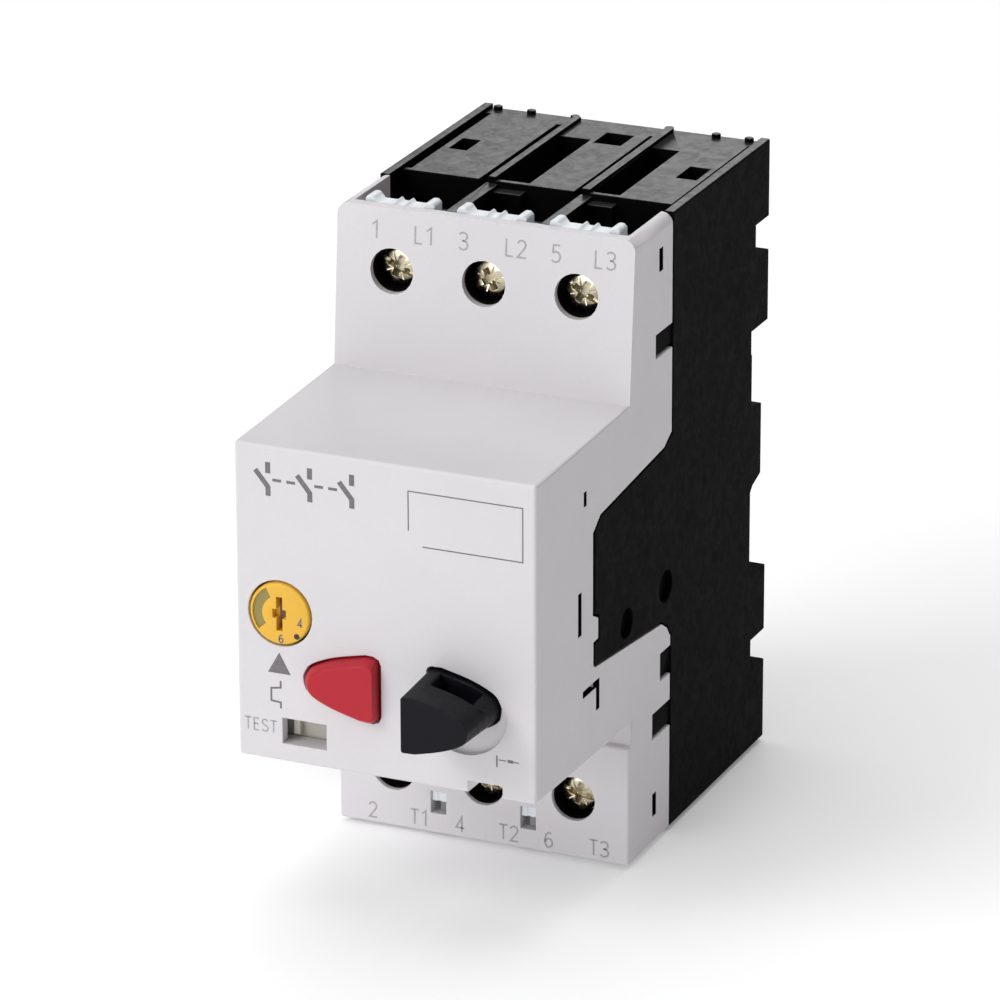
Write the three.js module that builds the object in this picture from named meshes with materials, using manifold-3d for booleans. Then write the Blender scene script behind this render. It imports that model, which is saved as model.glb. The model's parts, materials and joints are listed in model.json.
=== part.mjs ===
// Three-pole push-button motor protection breaker for a 35 mm rail.
// Millimetres. X runs across the poles, -Y is the front, +Z is up.
// Positions below are measured from the rear mounting plane (y = 0) and the bottom of the housing (z = 0).

import * as THREE from 'three';
import { mergeVertices } from 'three/addons/utils/BufferGeometryUtils.js';
import Module from 'manifold-3d';

const wasm = await Module();
wasm.setup();

// ---------- driving dimensions ----------

const HALF_WIDTH = 22.5;
const HEIGHT = 93;
const NOSE_FRONT = -85;
const NOSE_BOTTOM = 22.6;
const NOSE_TOP = 69;
const SPLIT = -37; // plane between front cover and base housing
const UPPER_FACE = -51.4; // upper terminal face, at the screws
const LOWER_FACE = -52.3; // lower terminal face
const STAND_PROUD = 0.7; // guide horns beyond the housing above, and horns and rear studs below
const GAP = 0.3; // between pieces that touch
const COVER_WALL = 1.8;
const BASE_WALL = 1.5;

const POLE_PITCH = 14;
const POLES = [-POLE_PITCH, 0, POLE_PITCH];
const UPPER_SCREW_Z = 84;
const SCREW_BORE_RADIUS = 3.3;
const SCREW_RECESS = 2.3;

const RAIL_SEAT = -6.2; // face that bears on the rail
const PARTITION_X = 7.2; // middle of the ribs between poles
const CHAMBER_REAR = -9;
const DECK_FRONT = -32; // front of the slotted decks, behind the wire troughs

const START_X = 12; // start button stem
const STOP_X = -5.5; // stop button stem
const BUTTON_Z = 36; // button stems
const BUTTON_FACE_Z = 35; // middle of the button faces
const START_PROUD = 9.5;
const STOP_PROUD = 1.8;
const DIAL_X = -15.9;
const DIAL_Z = 44.6;
const DIAL_RADIUS = 4.55;

const PIVOT_Y = -51;
const PIVOT_Z = 63;
const CARRIER_Z = 48;
const CONTACT_SPACING = 6.5; // from the middle of the bridge to each contact
const BRIDGE_Y = -33.5;

// ---------- solids ----------

function solid(geometry) {
  geometry.deleteAttribute('normal');
  geometry.deleteAttribute('uv');
  const merged = mergeVertices(geometry, 1e-4);
  return new wasm.Manifold(new wasm.Mesh({
    numProp: 3,
    vertProperties: Float32Array.from(merged.attributes.position.array),
    triVerts: Uint32Array.from(merged.index.array),
  }));
}

function toShape(outline) {
  const ready = outline instanceof THREE.Shape;
  return ready ? outline : new THREE.Shape(outline.map(([a, b]) => new THREE.Vector2(a, b)));
}

function extruded(outline, depth) {
  return new THREE.ExtrudeGeometry(toShape(outline), { depth, bevelEnabled: false, curveSegments: 5 });
}

const Y_Z_TO_X = new THREE.Matrix4().makeBasis(
  new THREE.Vector3(0, 1, 0),
  new THREE.Vector3(0, 0, 1),
  new THREE.Vector3(1, 0, 0),
);

// An outline of (y, z) points, extruded along X.
function prismX(outline, x0, x1) {
  return solid(extruded(outline, x1 - x0).applyMatrix4(Y_Z_TO_X).translate(x0, 0, 0));
}

// An outline of (x, z) points, extruded along Y.
function prismY(outline, y0, y1) {
  return solid(extruded(outline, y1 - y0).rotateX(Math.PI / 2).translate(0, y1, 0));
}

function box([x0, x1], [y0, y1], [z0, z1]) {
  const geometry = new THREE.BoxGeometry(x1 - x0, y1 - y0, z1 - z0);
  return solid(geometry.translate((x0 + x1) / 2, (y0 + y1) / 2, (z0 + z1) / 2));
}

function cylinderX(y, z, radius, [x0, x1], sides = 20) {
  const geometry = new THREE.CylinderGeometry(radius, radius, x1 - x0, sides).rotateZ(Math.PI / 2);
  return solid(geometry.translate((x0 + x1) / 2, y, z));
}

function cylinderY(x, z, radius, [y0, y1], sides = 24) {
  const geometry = new THREE.CylinderGeometry(radius, radius, y1 - y0, sides);
  return solid(geometry.translate(x, (y0 + y1) / 2, z));
}

function cylinderZ(x, y, radius, [z0, z1], sides = 10) {
  const geometry = new THREE.CylinderGeometry(radius, radius, z1 - z0, sides).rotateX(Math.PI / 2);
  return solid(geometry.translate(x, y, (z0 + z1) / 2));
}

// A turned solid about a line along Z, from a profile of (radius, z) points.
function turnedZ(profile, x, y, sides) {
  const points = profile.map(([radius, z]) => new THREE.Vector2(radius, z));
  return solid(new THREE.LatheGeometry(points, sides).rotateX(Math.PI / 2).translate(x, y, 0));
}

function joined(...solids) {
  return solids.reduce((whole, piece) => whole.add(piece));
}

function cut(whole, ...tools) {
  return tools.reduce((rest, tool) => rest.subtract(tool), whole);
}

// The same outline, moved outwards by a distance (inwards if negative), with mitred corners.
function offset(outline, distance) {
  const area = outline.reduce((sum, [a, b], i) => {
    const [c, d] = outline[(i + 1) % outline.length];
    return sum + a * d - b * c;
  }, 0);
  const shift = distance * Math.sign(area);
  return outline.map(([a, b], i) => {
    const before = outline.at(i - 1);
    const after = outline[(i + 1) % outline.length];
    const into = new THREE.Vector2(a - before[0], b - before[1]).normalize();
    const out = new THREE.Vector2(after[0] - a, after[1] - b).normalize();
    const mitre = new THREE.Vector2(into.y + out.y, -into.x - out.x);
    const reach = shift / (1 + into.dot(out));
    return [a + mitre.x * reach, b + mitre.y * reach];
  });
}

// The outline seen in a mirror at mid height, for what is the same above and below.
function upsideDown(outline) {
  return outline.map(([a, z]) => [a, HEIGHT - z]);
}

function span(middle, half) {
  return [middle - half, middle + half];
}

// ---------- nodes ----------

function finish(color, roughness, metalness = 0) {
  return new THREE.MeshStandardMaterial({ color, roughness, metalness });
}

const finishes = {
  cover: finish(0xdadbde, 0.5),
  base: finish(0x161417, 0.55),
  guide: finish(0xeef2f5, 0.45),
  start: finish(0x222226, 0.45),
  stop: finish(0xc83a42, 0.4),
  dial: finish(0xe8b432, 0.4),
  slide: finish(0xd8d4c4, 0.5),
  mechanism: finish(0x3a3d42, 0.6),
  carrier: finish(0x6b4a2b, 0.6),
  screw: finish(0xd9cfb2, 0.3, 1),
  steel: finish(0xb9bcc0, 0.35, 1),
  copper: finish(0xb8734a, 0.35, 1),
  silver: finish(0xd6d6d2, 0.3, 1),
};

const breaker = new THREE.Group();

function part(name, shape, material) {
  const mesh = shape.getMesh();
  const geometry = new THREE.BufferGeometry();
  geometry.setAttribute('position', new THREE.BufferAttribute(mesh.vertProperties, 3));
  geometry.setIndex(new THREE.BufferAttribute(mesh.triVerts, 1));
  geometry.computeVertexNormals();
  const node = new THREE.Mesh(geometry, material);
  node.name = name;
  breaker.add(node);
}

// ---------- front cover ----------

// Where the base housing's side shows through the cover's side: (y, z), clockwise from the top.
const SIDE_WINDOW = [
  [-36, 60.5],
  [-37.2, 60.5],
  [-39.7, 59.1],
  [-62.7, 57.1],
  [-65.1, 55.4],
  [-65.1, 43],
  [-63.4, 42.2],
  [-63.4, 39.1],
  [-65.1, 39],
  [-65.1, 35.6],
  [-64.4, 35.1],
  [-40.2, 32.6],
  [-38.3, 31.4],
  [-37.2, 29.9],
  [-36, 29.9],
];

// Snap notches at the cover's rear edge: how far forward each goes, and its height.
const SNAPS = [
  { front: -43, z: [73.3, 76.8] },
  { front: -40.7, z: [24, 28.2] },
  { front: -43.5, z: [16, 19.9] },
];

const LEFT_RIGHT = [-1, 1];
const TEST_SLIDE_FRONT = -81;

// One of the two side walls, from the middle out.
function sideSpan(side, inner, outer) {
  return side < 0 ? [-outer, -inner] : [inner, outer];
}

// The buttons' D shape, as (x, z) points: a straight side with rounded corners, and a tip `reach` away.
function buttonOutline(flatX, reach, corner, grow = 0) {
  const nose = new THREE.SplineCurve([
    [2, 5.1],
    [6.8, 4],
    [10.2, 2.6],
    [11.2, 1.4],
    [11.4, 0.4],
    [10.6, -1.3],
    [7, -2.9],
    [2.4, -4.1],
  ].map(([along, up]) => new THREE.Vector2(along, up)));
  const points = [
    [0, 5 - corner],
    [0.29 * corner, 5 - 0.29 * corner],
    [corner, 5.05],
    ...nose.getPoints(21).map((point) => point.toArray()),
    [corner, -4.16],
    [0.29 * corner, -4.2 + 0.29 * corner],
    [0, -4.2 + corner],
  ];
  const outline = points.map(([along, up]) => [flatX + along * reach / 11.4, BUTTON_FACE_Z + up]);
  return grow === 0 ? outline : offset(outline, grow);
}

const START_OUTLINE = [6.5, 10.4, 0.4];
const STOP_OUTLINE = [-1.1, -11, 0.9];
const BUTTON_CLEARANCE = 0.35;
const BUTTON_FLANGE = 0.9;

function frontCover() {
  const outside = prismX([
    [SPLIT, 0],
    [LOWER_FACE, 0],
    [LOWER_FACE, 18],
    [-51.4, 18.3],
    [-51, 21.6],
    [NOSE_FRONT, NOSE_BOTTOM],
    [NOSE_FRONT, NOSE_TOP],
    [-52.5, NOSE_TOP + 0.5],
    [-50.7, HEIGHT],
    [SPLIT, HEIGHT],
  ], -HALF_WIDTH, HALF_WIDTH);
  const inside = prismX([
    [SPLIT + 1, -1],
    [LOWER_FACE + COVER_WALL, -1],
    [LOWER_FACE + COVER_WALL, 16.2],
    [-49.4, 16.2],
    [-49.2, 23.5],
    [NOSE_FRONT + COVER_WALL, NOSE_BOTTOM + 1.9],
    [NOSE_FRONT + COVER_WALL, NOSE_TOP - COVER_WALL],
    [-50.8, NOSE_TOP - 1.3],
    [-48.9, HEIGHT - 1.9],
    [-48.75, HEIGHT + 1],
    [SPLIT + 1, HEIGHT + 1],
  ], -HALF_WIDTH + COVER_WALL, HALF_WIDTH - COVER_WALL);
  const corner = 1.6;
  const front = new THREE.Shape();
  front.moveTo(-HALF_WIDTH, 0);
  front.lineTo(HALF_WIDTH, 0);
  front.lineTo(HALF_WIDTH, HEIGHT - corner);
  front.absarc(HALF_WIDTH - corner, HEIGHT - corner, corner, 0, Math.PI / 2);
  front.absarc(-HALF_WIDTH + corner, HEIGHT - corner, corner, Math.PI / 2, Math.PI);
  front.closePath();
  let cover = cut(outside.intersect(prismY(front, NOSE_FRONT - 1, SPLIT + 1)), inside);

  for (const x of POLES) {
    const upper = cylinderY(x, UPPER_SCREW_Z, SCREW_BORE_RADIUS + 1.1, [UPPER_FACE + 1, -46.8]);
    const lower = cylinderY(x, HEIGHT - UPPER_SCREW_Z, SCREW_BORE_RADIUS + 1.1, [LOWER_FACE + 1, -47.2]);
    cover = cut(
      joined(cover, upper, lower),
      cylinderY(x, UPPER_SCREW_Z, SCREW_BORE_RADIUS, [NOSE_FRONT, -46]),
      cylinderY(x, HEIGHT - UPPER_SCREW_Z, SCREW_BORE_RADIUS, [LOWER_FACE - 1, -47]),
    );
  }
  // Test points between the lower terminals.
  for (const side of LEFT_RIGHT) {
    cover = cut(cover, box(span(side * 7, 1.2), [LOWER_FACE - 1, LOWER_FACE + 3], [3.1, 6.5]));
  }
  // Finger dish under the start button, button holes, dial hole, and test hole with a ledge behind it.
  const dish = cylinderY(0, 0, 6.4, [-3, 0], 40).rotate([7.5, 0, 0]);
  cover = cut(
    joined(cover, box([-16.8, -8.1], [NOSE_FRONT + 1.5, TEST_SLIDE_FRONT - GAP], [24.1, 25.3])),
    dish.translate([11.8, NOSE_FRONT + 0.1, 34.7]),
    prismY(buttonOutline(...START_OUTLINE, BUTTON_CLEARANCE), NOSE_FRONT - 1, NOSE_FRONT + 3),
    prismY(buttonOutline(...STOP_OUTLINE, BUTTON_CLEARANCE), NOSE_FRONT - 1, NOSE_FRONT + 3),
    cylinderY(DIAL_X, DIAL_Z, DIAL_RADIUS + GAP, [NOSE_FRONT - 1, NOSE_FRONT + 3], 32),
    box([-15.8, -9.1], [NOSE_FRONT - 1, TEST_SLIDE_FRONT], [25.3, 29.1]),
  );
  // Notch in the nose's lower edge, with a roof over it.
  const roof = box([11.2, 18.4], [NOSE_FRONT + 1, NOSE_FRONT + 6.2], [NOSE_BOTTOM + 1.4, NOSE_BOTTOM + 3.4]);
  cover = cut(
    joined(cover, roof),
    box([12.2, 17.4], [NOSE_FRONT - 1, NOSE_FRONT + 4.6], [NOSE_BOTTOM - 2, NOSE_BOTTOM + 1.8]),
  );
  for (const side of LEFT_RIGHT) {
    const through = sideSpan(side, 20, 23);
    const shallow = sideSpan(side, HALF_WIDTH - 1, 23);
    cover = cut(cover, prismX(SIDE_WINDOW, ...through));
    for (const snap of SNAPS) {
      cover = cut(cover, box(through, [snap.front, SPLIT + 1], snap.z));
    }
    cover = cut(
      cover,
      box(shallow, [-41.9, -40.5], [85.8, 89.1]),
      box(shallow, [-43.3, -41.9], [4.1, 7.5]),
      box(shallow, [-68.6, -67.6], [60.2, 62.3]),
      box(shallow, [-70.5, -69.3], [41.7, 48]),
      box(shallow, [-68.8, -62.9], [32, 33]),
      box(shallow, [-64.1, -62.9], [28.5, 32.5]),
    );
  }
  return cover;
}

// ---------- base housing ----------

const REAR_STUDS_X = [-19.9, -14.6, -7.7, 7.1, 14.4, 19.5];
const DECK_TOP = HEIGHT - 0.6;
const DECK_UNDERSIDE = 86.5;
const GROOVE_FLOOR = 88;

// Grooves and pockets in the deck: x, then y.
const DECK_POCKETS = [
  [[-21, -20.2], [-31, -3]],
  [[-9.2, -7.8], [-33, -4]],
  [[-6.6, -1.8], [-31, -9]],
  [[5.4, 6.6], [-33, -4]],
  [[7.8, 12], [-31, -9]],
  [[20.2, 21], [-33, -3]],
  [[-19, -16.3], [-20.5, -15.5]],
  [[-0.9, 3.2], [-9.9, -4.9]],
  [[16.2, 19.2], [-20.5, -15]],
];

const LATCH_HALF = 6;
const LATCH_FRONT = -4.7;

function baseHousing() {
  const inner = HALF_WIDTH - BASE_WALL;
  let base = prismX([
    [SPLIT + GAP, 0],
    [0, 0],
    [0, 12.5],
    [-5.5, 12.5],
    [-5.5, 17.2],
    [0, 17.2],
    [0, 27.5],
    [RAIL_SEAT, 27.5],
    [RAIL_SEAT, 40.9],
    [-5.4, 41.6],
    [-2.2, 42.6],
    [-2.2, 53.4],
    [RAIL_SEAT, 54],
    [RAIL_SEAT, 62],
    [RAIL_SEAT - 0.3, 62.3],
    [RAIL_SEAT - 0.3, 65.6],
    [0, 65.6],
    [0, 76.4],
    [-5.2, 76.4],
    [-5.2, 81.4],
    [0, 81.4],
    [0, HEIGHT],
    [SPLIT + GAP, HEIGHT],
  ], -HALF_WIDTH, HALF_WIDTH);
  base = cut(
    base,
    box([-inner, inner], [SPLIT - 1, CHAMBER_REAR], [HEIGHT - DECK_UNDERSIDE, DECK_UNDERSIDE]),
    box([-inner, inner], [SPLIT - 1, DECK_FRONT], [-1, HEIGHT + 1]),
    box([-inner, inner], [DECK_FRONT - 1, 1], [DECK_TOP, HEIGHT + 1]),
    box([-inner, inner], [DECK_FRONT - 1, 1], [-1, HEIGHT - DECK_TOP]),
  );
  for (const [x, y] of DECK_POCKETS) {
    base = cut(base, box(x, y, [GROOVE_FLOOR, HEIGHT]), box(x, y, [-1, HEIGHT - GROOVE_FLOOR]));
  }
  for (const side of LEFT_RIGHT) {
    const rib = side * PARTITION_X;
    base = joined(
      base,
      prismX(offset(SIDE_WINDOW, -GAP), ...sideSpan(side, inner - 0.2, HALF_WIDTH)),
      box(span(rib, 0.6), [DECK_FRONT, -1], [DECK_UNDERSIDE, HEIGHT]),
      box(span(rib, 0.6), [DECK_FRONT, -1], [0, HEIGHT - DECK_UNDERSIDE]),
      box(span(rib, 0.6), [-31.5, CHAMBER_REAR + 1], [5, DECK_UNDERSIDE + 1]),
      box(span(rib, 1), [-46, -31.5], [67, HEIGHT - 1]),
      box(span(rib, 1), [-46, -31.5], [0, 15.7]),
    );
    for (const snap of SNAPS) {
      const lug = sideSpan(side, inner + 0.1, HALF_WIDTH - 0.3);
      const height = [snap.z[0] + GAP, snap.z[1] - GAP];
      base = joined(base, box(lug, [snap.front + GAP, SPLIT + 1], height));
    }
    // Blind round holes in the side.
    const recess = sideSpan(side, HALF_WIDTH - 1, 23);
    base = cut(base, cylinderX(-53.2, 37.5, 2.2, recess), cylinderX(-38.8, 37.9, 2.4, recess));
  }
  // Ledges in front of the two deep pockets.
  for (const pocket of [[-6.6, -2], [7.8, 12]]) {
    base = joined(base, box(pocket, [DECK_FRONT - 2, DECK_FRONT + 0.5], [86.5, HEIGHT - 1.6]));
  }
  // Fixed rail hook above, and the latch's T-shaped channel with its spring peg below.
  base = joined(base, box([-19, 19], [-4.8, -2.8], [62.6, 66]));
  base = cut(
    base,
    box([-LATCH_HALF - GAP, LATCH_HALF + GAP], [LATCH_FRONT - GAP, 1], [-1, 28]),
    box([-LATCH_HALF - 1.3, LATCH_HALF + 1.3], [LATCH_FRONT - GAP, -3.3], [-1, 28]),
  );
  base = joined(base, box([-1.2, 1.2], [LATCH_FRONT - 0.6, -1.4], [9.4, 10.6]));
  for (const x of REAR_STUDS_X) {
    base = joined(base, cylinderZ(x, -0.8, 0.7, [HEIGHT - 2, HEIGHT]));
    base = joined(base, cylinderZ(x, -0.8, 0.7, [-STAND_PROUD, 2]));
  }
  return base;
}

// ---------- terminals ----------

const BAR_FRONT = -41.3;
const BAR_THICKNESS = 1.2;
const BAR_HALF = 3.2;
const SCREW_HEAD_RADIUS = 2.8;
const SCREW_HEAD = 2.5;
const SHANK_RADIUS = 1.7;

function terminalScrew(x, z, face) {
  const front = face + SCREW_RECESS;
  const middle = (reach) => span(z, reach);
  return cut(
    joined(
      cylinderY(x, z, SCREW_HEAD_RADIUS, [front, front + SCREW_HEAD]),
      cylinderY(x, z, SHANK_RADIUS, [front + 1, BAR_FRONT - GAP], 14),
    ),
    box(span(x, 2.9), [front - 1, front + 0.8], middle(0.4)),
    box(span(x, 0.5), [front - 1, front + 1.3], middle(1.6)),
    box(span(x, 1.6), [front - 1, front + 1.3], middle(0.5)),
  );
}

// A cage round the conductor bar, wide open. The screw draws it forward, and its rear wall presses the wire
// against the bar.
function terminalClamp(x, z) {
  return cut(
    box(span(x, 4.7), [-43.2, -34], span(z, 4)),
    box(span(x, 3.7), [-41.7, -35], span(z, 5)),
    cylinderY(x, z, SHANK_RADIUS + GAP, [-44, -41], 14),
  );
}

// A white cap in front of the wire trough, with horns at its ends and two small teeth.
function wireGuide(x, front, flip) {
  const bottom = 89;
  const shoulder = HEIGHT - 0.2;
  const horn = HEIGHT + STAND_PROUD;
  const tooth = HEIGHT + 0.4;
  const outline = [
    [-5.3, bottom],
    [5.3, bottom],
    [5.3, horn - 0.4],
    [4.9, horn],
    [4, horn],
    [3.3, shoulder],
    [1.4, shoulder],
    [1, tooth],
    [0.5, shoulder],
    [-0.3, shoulder],
    [-0.7, tooth],
    [-1.2, shoulder],
    [-3.3, shoulder],
    [-4, horn],
    [-4.9, horn],
    [-5.3, horn - 0.4],
  ].map(([along, z]) => [x + along, z]);
  return prismY(flip ? upsideDown(outline) : outline, front, front + 2.8);
}

// ---------- current path ----------

// A bar from the clamp to the fixed contact: along the clamp, back at the bend, then on to the contact.
const LINE_ROUTE = { start: 88.6, bend: 62, end: 52 };
const LOAD_ROUTE = { start: 4.4, bend: 20, end: 44 };
const CONTACT_PLATE_FRONT = -27.2;

function conductor(x, { start, bend, end }) {
  const direction = Math.sign(start - end);
  const barRear = BAR_FRONT + BAR_THICKNESS;
  const plateRear = CONTACT_PLATE_FRONT + BAR_THICKNESS;
  const farSide = bend + direction * BAR_THICKNESS;
  const route = [
    [BAR_FRONT, start],
    [barRear, start],
    [barRear, farSide],
    [plateRear, farSide],
    [plateRear, end],
    [CONTACT_PLATE_FRONT, end],
    [CONTACT_PLATE_FRONT, bend],
    [BAR_FRONT, bend],
  ];
  const pad = [CONTACT_PLATE_FRONT - 1.1, CONTACT_PLATE_FRONT + 0.4];
  return joined(
    prismX(route, x - BAR_HALF, x + BAR_HALF),
    cylinderY(x, CARRIER_Z + direction * CONTACT_SPACING, 1.8, pad, 14),
  );
}

function contactBridge(x) {
  const pads = [-CONTACT_SPACING, CONTACT_SPACING].map((up) => (
    cylinderY(x, CARRIER_Z + up, 1.8, [BRIDGE_Y + 0.8, BRIDGE_Y + 1.9], 14)
  ));
  const bar = box(span(x, 3), [BRIDGE_Y, BRIDGE_Y + 1.2], span(CARRIER_Z, 9));
  return cut(joined(bar, ...pads), box(span(x, 1.3), [BRIDGE_Y - 1, 0], span(CARRIER_Z, 1.8)));
}

function contactCarrier() {
  const posts = POLES.map((x) => box(span(x, 1), [-36, -30.5], span(CARRIER_Z, 1.5)));
  const rod = box(span(START_X, 1.5), [-48.6, -37], span(CARRIER_Z, 1));
  return joined(box([-18.5, 18.5], [-37.5, -35], span(CARRIER_Z, 3)), rod, ...posts);
}

function arcChute(x) {
  const [bottom, top] = [64, 86];
  const plates = 7;
  const pitch = (top - bottom - 0.8) / (plates - 1);
  let chute = box(span(x, 5), [-12.3, -11.1], [bottom, top]);
  for (let i = 0; i < plates; i += 1) {
    const z = bottom + i * pitch;
    chute = joined(chute, box(span(x, 5), [-31, -12], [z, z + 0.8]));
  }
  return chute;
}

// ---------- tripping parts ----------

const COIL_Y = -18;

function tripCoil(x) {
  const turns = 5;
  const [bottom, top] = [22, 33];
  const pitch = (top - bottom) / turns;
  const profile = [[2.5, bottom]];
  for (let i = 0; i < turns; i += 1) {
    profile.push([4.1, bottom + i * pitch], [4.7, bottom + (i + 0.5) * pitch]);
  }
  profile.push([4.1, top], [2.5, top], [2.5, bottom]);
  return turnedZ(profile, x, COIL_Y, 16);
}

function tripPlunger(x) {
  const profile = [[0, 19.5], [1.7, 19.5], [2.1, 20], [2.1, 35], [3.3, 35], [3.3, 36.6], [0, 36.6]];
  return turnedZ(profile, x, COIL_Y, 14);
}

function bimetalStrip(x) {
  return joined(
    box([x + 1.6, x + 2.4], [-35.5, -31.5], [20.3, 36.5]),
    box([x - 2.4, x + 2.4], [-35.5, -31.5], [20.3, 21.1]),
  );
}

function tripBar() {
  const pegs = POLES.map((x) => box([x + 2.9, x + 4.1], [-37.5, -33.5], [33.5, 35.5]));
  return joined(box([-18.5, 18.5], [-38.7, -36.9], [33.5, 35.5]), ...pegs);
}

// ---------- mechanism ----------

const FRAME_FRONT = -62;
const FRAME_PLATE = 1.5;

function mechanismFrame() {
  const plate = (y) => box([-20, 20], [y, y + FRAME_PLATE], [27, 66]);
  const sides = LEFT_RIGHT.map((side) => box(sideSpan(side, 18.8, 20), [FRAME_FRONT, -44], [27, 66]));
  const cheeks = LEFT_RIGHT.map((side) => (
    box(span(START_X + side * 3.8, 0.6), [PIVOT_Y - 3.5, -44.5], [PIVOT_Z - 4, 66])
  ));
  return cut(
    joined(plate(FRAME_FRONT), plate(-45.5), ...sides, ...cheeks),
    box(span(START_X, 2.4), [FRAME_FRONT - 1, -60], span(BUTTON_Z, 2.4)),
    box(span(STOP_X, 1.9), [FRAME_FRONT - 1, -60], span(BUTTON_Z, 1.9)),
    box(span(START_X, 3.2), [-46, -43], [31, 59]),
    box([-16, 2], [-46, -43], [36, 60]),
    cylinderX(PIVOT_Y, PIVOT_Z, 1.5, [START_X - 6, START_X + 6], 16),
  );
}

function toggleLever() {
  const arm = prismX([
    [PIVOT_Y - 2, PIVOT_Z],
    [PIVOT_Y - 1.5, 34.5],
    [PIVOT_Y - 0.8, 33.5],
    [PIVOT_Y + 0.8, 33.5],
    [PIVOT_Y + 1.5, 34.5],
    [PIVOT_Y + 2, PIVOT_Z],
  ], START_X - 2.5, START_X + 2.5);
  const hub = cylinderX(PIVOT_Y, PIVOT_Z, 2.8, span(START_X, 2.5));
  return cut(joined(arm, hub), cylinderX(PIVOT_Y, PIVOT_Z, 1.5, span(START_X, 3), 16));
}

function pivotPin() {
  return cylinderX(PIVOT_Y, PIVOT_Z, 1.2, span(START_X, 5), 16);
}

// A closed coil of round wire about a line along `axis`, which starts at `from`.
class Helix extends THREE.Curve {
  constructor(radius, length, turns) {
    super();
    this.radius = radius;
    this.length = length;
    this.turns = turns;
  }

  getPoint(t, target = new THREE.Vector3()) {
    const angle = 2 * Math.PI * this.turns * t;
    return target.set(this.radius * Math.cos(angle), this.radius * Math.sin(angle), this.length * t);
  }
}

function spring(radius, wire, length, turns) {
  const section = new THREE.Shape();
  section.absarc(0, 0, wire, 0, 2 * Math.PI);
  return new THREE.ExtrudeGeometry(section, {
    steps: turns * 9,
    curveSegments: 5,
    extrudePath: new Helix(radius, length - 2 * wire, turns),
  }).translate(0, 0, wire);
}

function springY(x, z, radius, wire, [y0, y1], turns) {
  return solid(spring(radius, wire, y1 - y0, turns).rotateX(Math.PI / 2).translate(x, y1, z));
}

function springZ(x, y, radius, wire, [z0, z1], turns) {
  return solid(spring(radius, wire, z1 - z0, turns).translate(x, y, z0));
}

// ---------- what the hand works ----------

// The outline pulled in towards the middle of its straight side.
function tapered(outline, flatX, along, up) {
  return outline.map(([x, z]) => [flatX + (x - flatX) * along, BUTTON_FACE_Z + (z - BUTTON_FACE_Z) * up]);
}

// A solid between two outlines with equal numbers of points, one at y0 and one at y1.
function lofted(frontOutline, rearOutline, y0, y1) {
  const geometry = extruded(rearOutline, y1 - y0).rotateX(Math.PI / 2).translate(0, y1, 0);
  const position = geometry.attributes.position;
  for (let i = 0; i < position.count; i += 1) {
    if (position.getY(i) < (y0 + y1) / 2) {
      const nearest = rearOutline.findIndex(([x, z]) => (
        Math.hypot(x - position.getX(i), z - position.getZ(i)) < 1e-3
      ));
      position.setX(i, frontOutline[nearest][0]);
      position.setZ(i, frontOutline[nearest][1]);
    }
  }
  return solid(geometry);
}

const FLANGE_FRONT = NOSE_FRONT + COVER_WALL + GAP;
const FLANGE_REAR = FLANGE_FRONT + 1.4;
const SPRING_SPAN = [FLANGE_REAR + GAP, FRAME_FRONT - GAP]; // between a button's flange and the frame

function startButton() {
  const outline = buttonOutline(...START_OUTLINE);
  const front = tapered(outline, START_OUTLINE[0], 0.95, 0.89);
  const tip = NOSE_FRONT - START_PROUD;
  const fingerSlot = [
    [8.7, 37.2],
    [8.7, 42],
    [15, 42],
    [15, 35.6],
  ];
  return cut(
    joined(
      lofted(front, outline, tip, NOSE_FRONT),
      prismY(outline, NOSE_FRONT, FLANGE_FRONT + 0.5),
      prismY(offset(outline, BUTTON_FLANGE), FLANGE_FRONT, FLANGE_REAR),
      box(span(START_X, 2), [FLANGE_REAR - 0.5, -53], span(BUTTON_Z, 2)),
    ),
    prismY(fingerSlot, NOSE_FRONT - 4.3, NOSE_FRONT - 0.6),
  );
}

function stopButton() {
  const outline = buttonOutline(...STOP_OUTLINE);
  const front = tapered(outline, STOP_OUTLINE[0] - 0.6, 0.9, 0.88);
  return joined(
    lofted(front, outline, NOSE_FRONT - STOP_PROUD, NOSE_FRONT - 0.4),
    prismY(outline, NOSE_FRONT - 0.4, FLANGE_FRONT + 0.5),
    prismY(offset(outline, BUTTON_FLANGE), FLANGE_FRONT, FLANGE_REAR),
    box(span(STOP_X, 1.5), [FLANGE_REAR - 0.5, -57], span(BUTTON_Z, 1.5)),
  );
}

function currentDial() {
  const front = NOSE_FRONT - 0.2;
  return cut(
    joined(
      cylinderY(DIAL_X, DIAL_Z, DIAL_RADIUS, [front, NOSE_FRONT + 1.6], 32),
      cylinderY(DIAL_X, DIAL_Z, 3.4, [NOSE_FRONT + 1, NOSE_FRONT + 2.4]),
      cylinderY(DIAL_X, DIAL_Z, 4.2, [NOSE_FRONT + 2.1, NOSE_FRONT + 3]),
      cylinderY(DIAL_X, DIAL_Z, 1.6, [NOSE_FRONT + 2.5, FRAME_FRONT - GAP], 14),
    ),
    box(span(DIAL_X, 0.5), [front - 1, front + 1], span(DIAL_Z, 2.5)),
    box(span(DIAL_X, 1.05), [front - 1, front + 1], span(DIAL_Z, 0.7)),
  );
}

function testSlide() {
  return joined(
    box([-17.5, -8], [TEST_SLIDE_FRONT, TEST_SLIDE_FRONT + 1.6], [25, 30.1]),
    box([-15.4, -14.4], [TEST_SLIDE_FRONT - 1.2, TEST_SLIDE_FRONT + 0.5], [25.7, 28.7]),
  );
}

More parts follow.
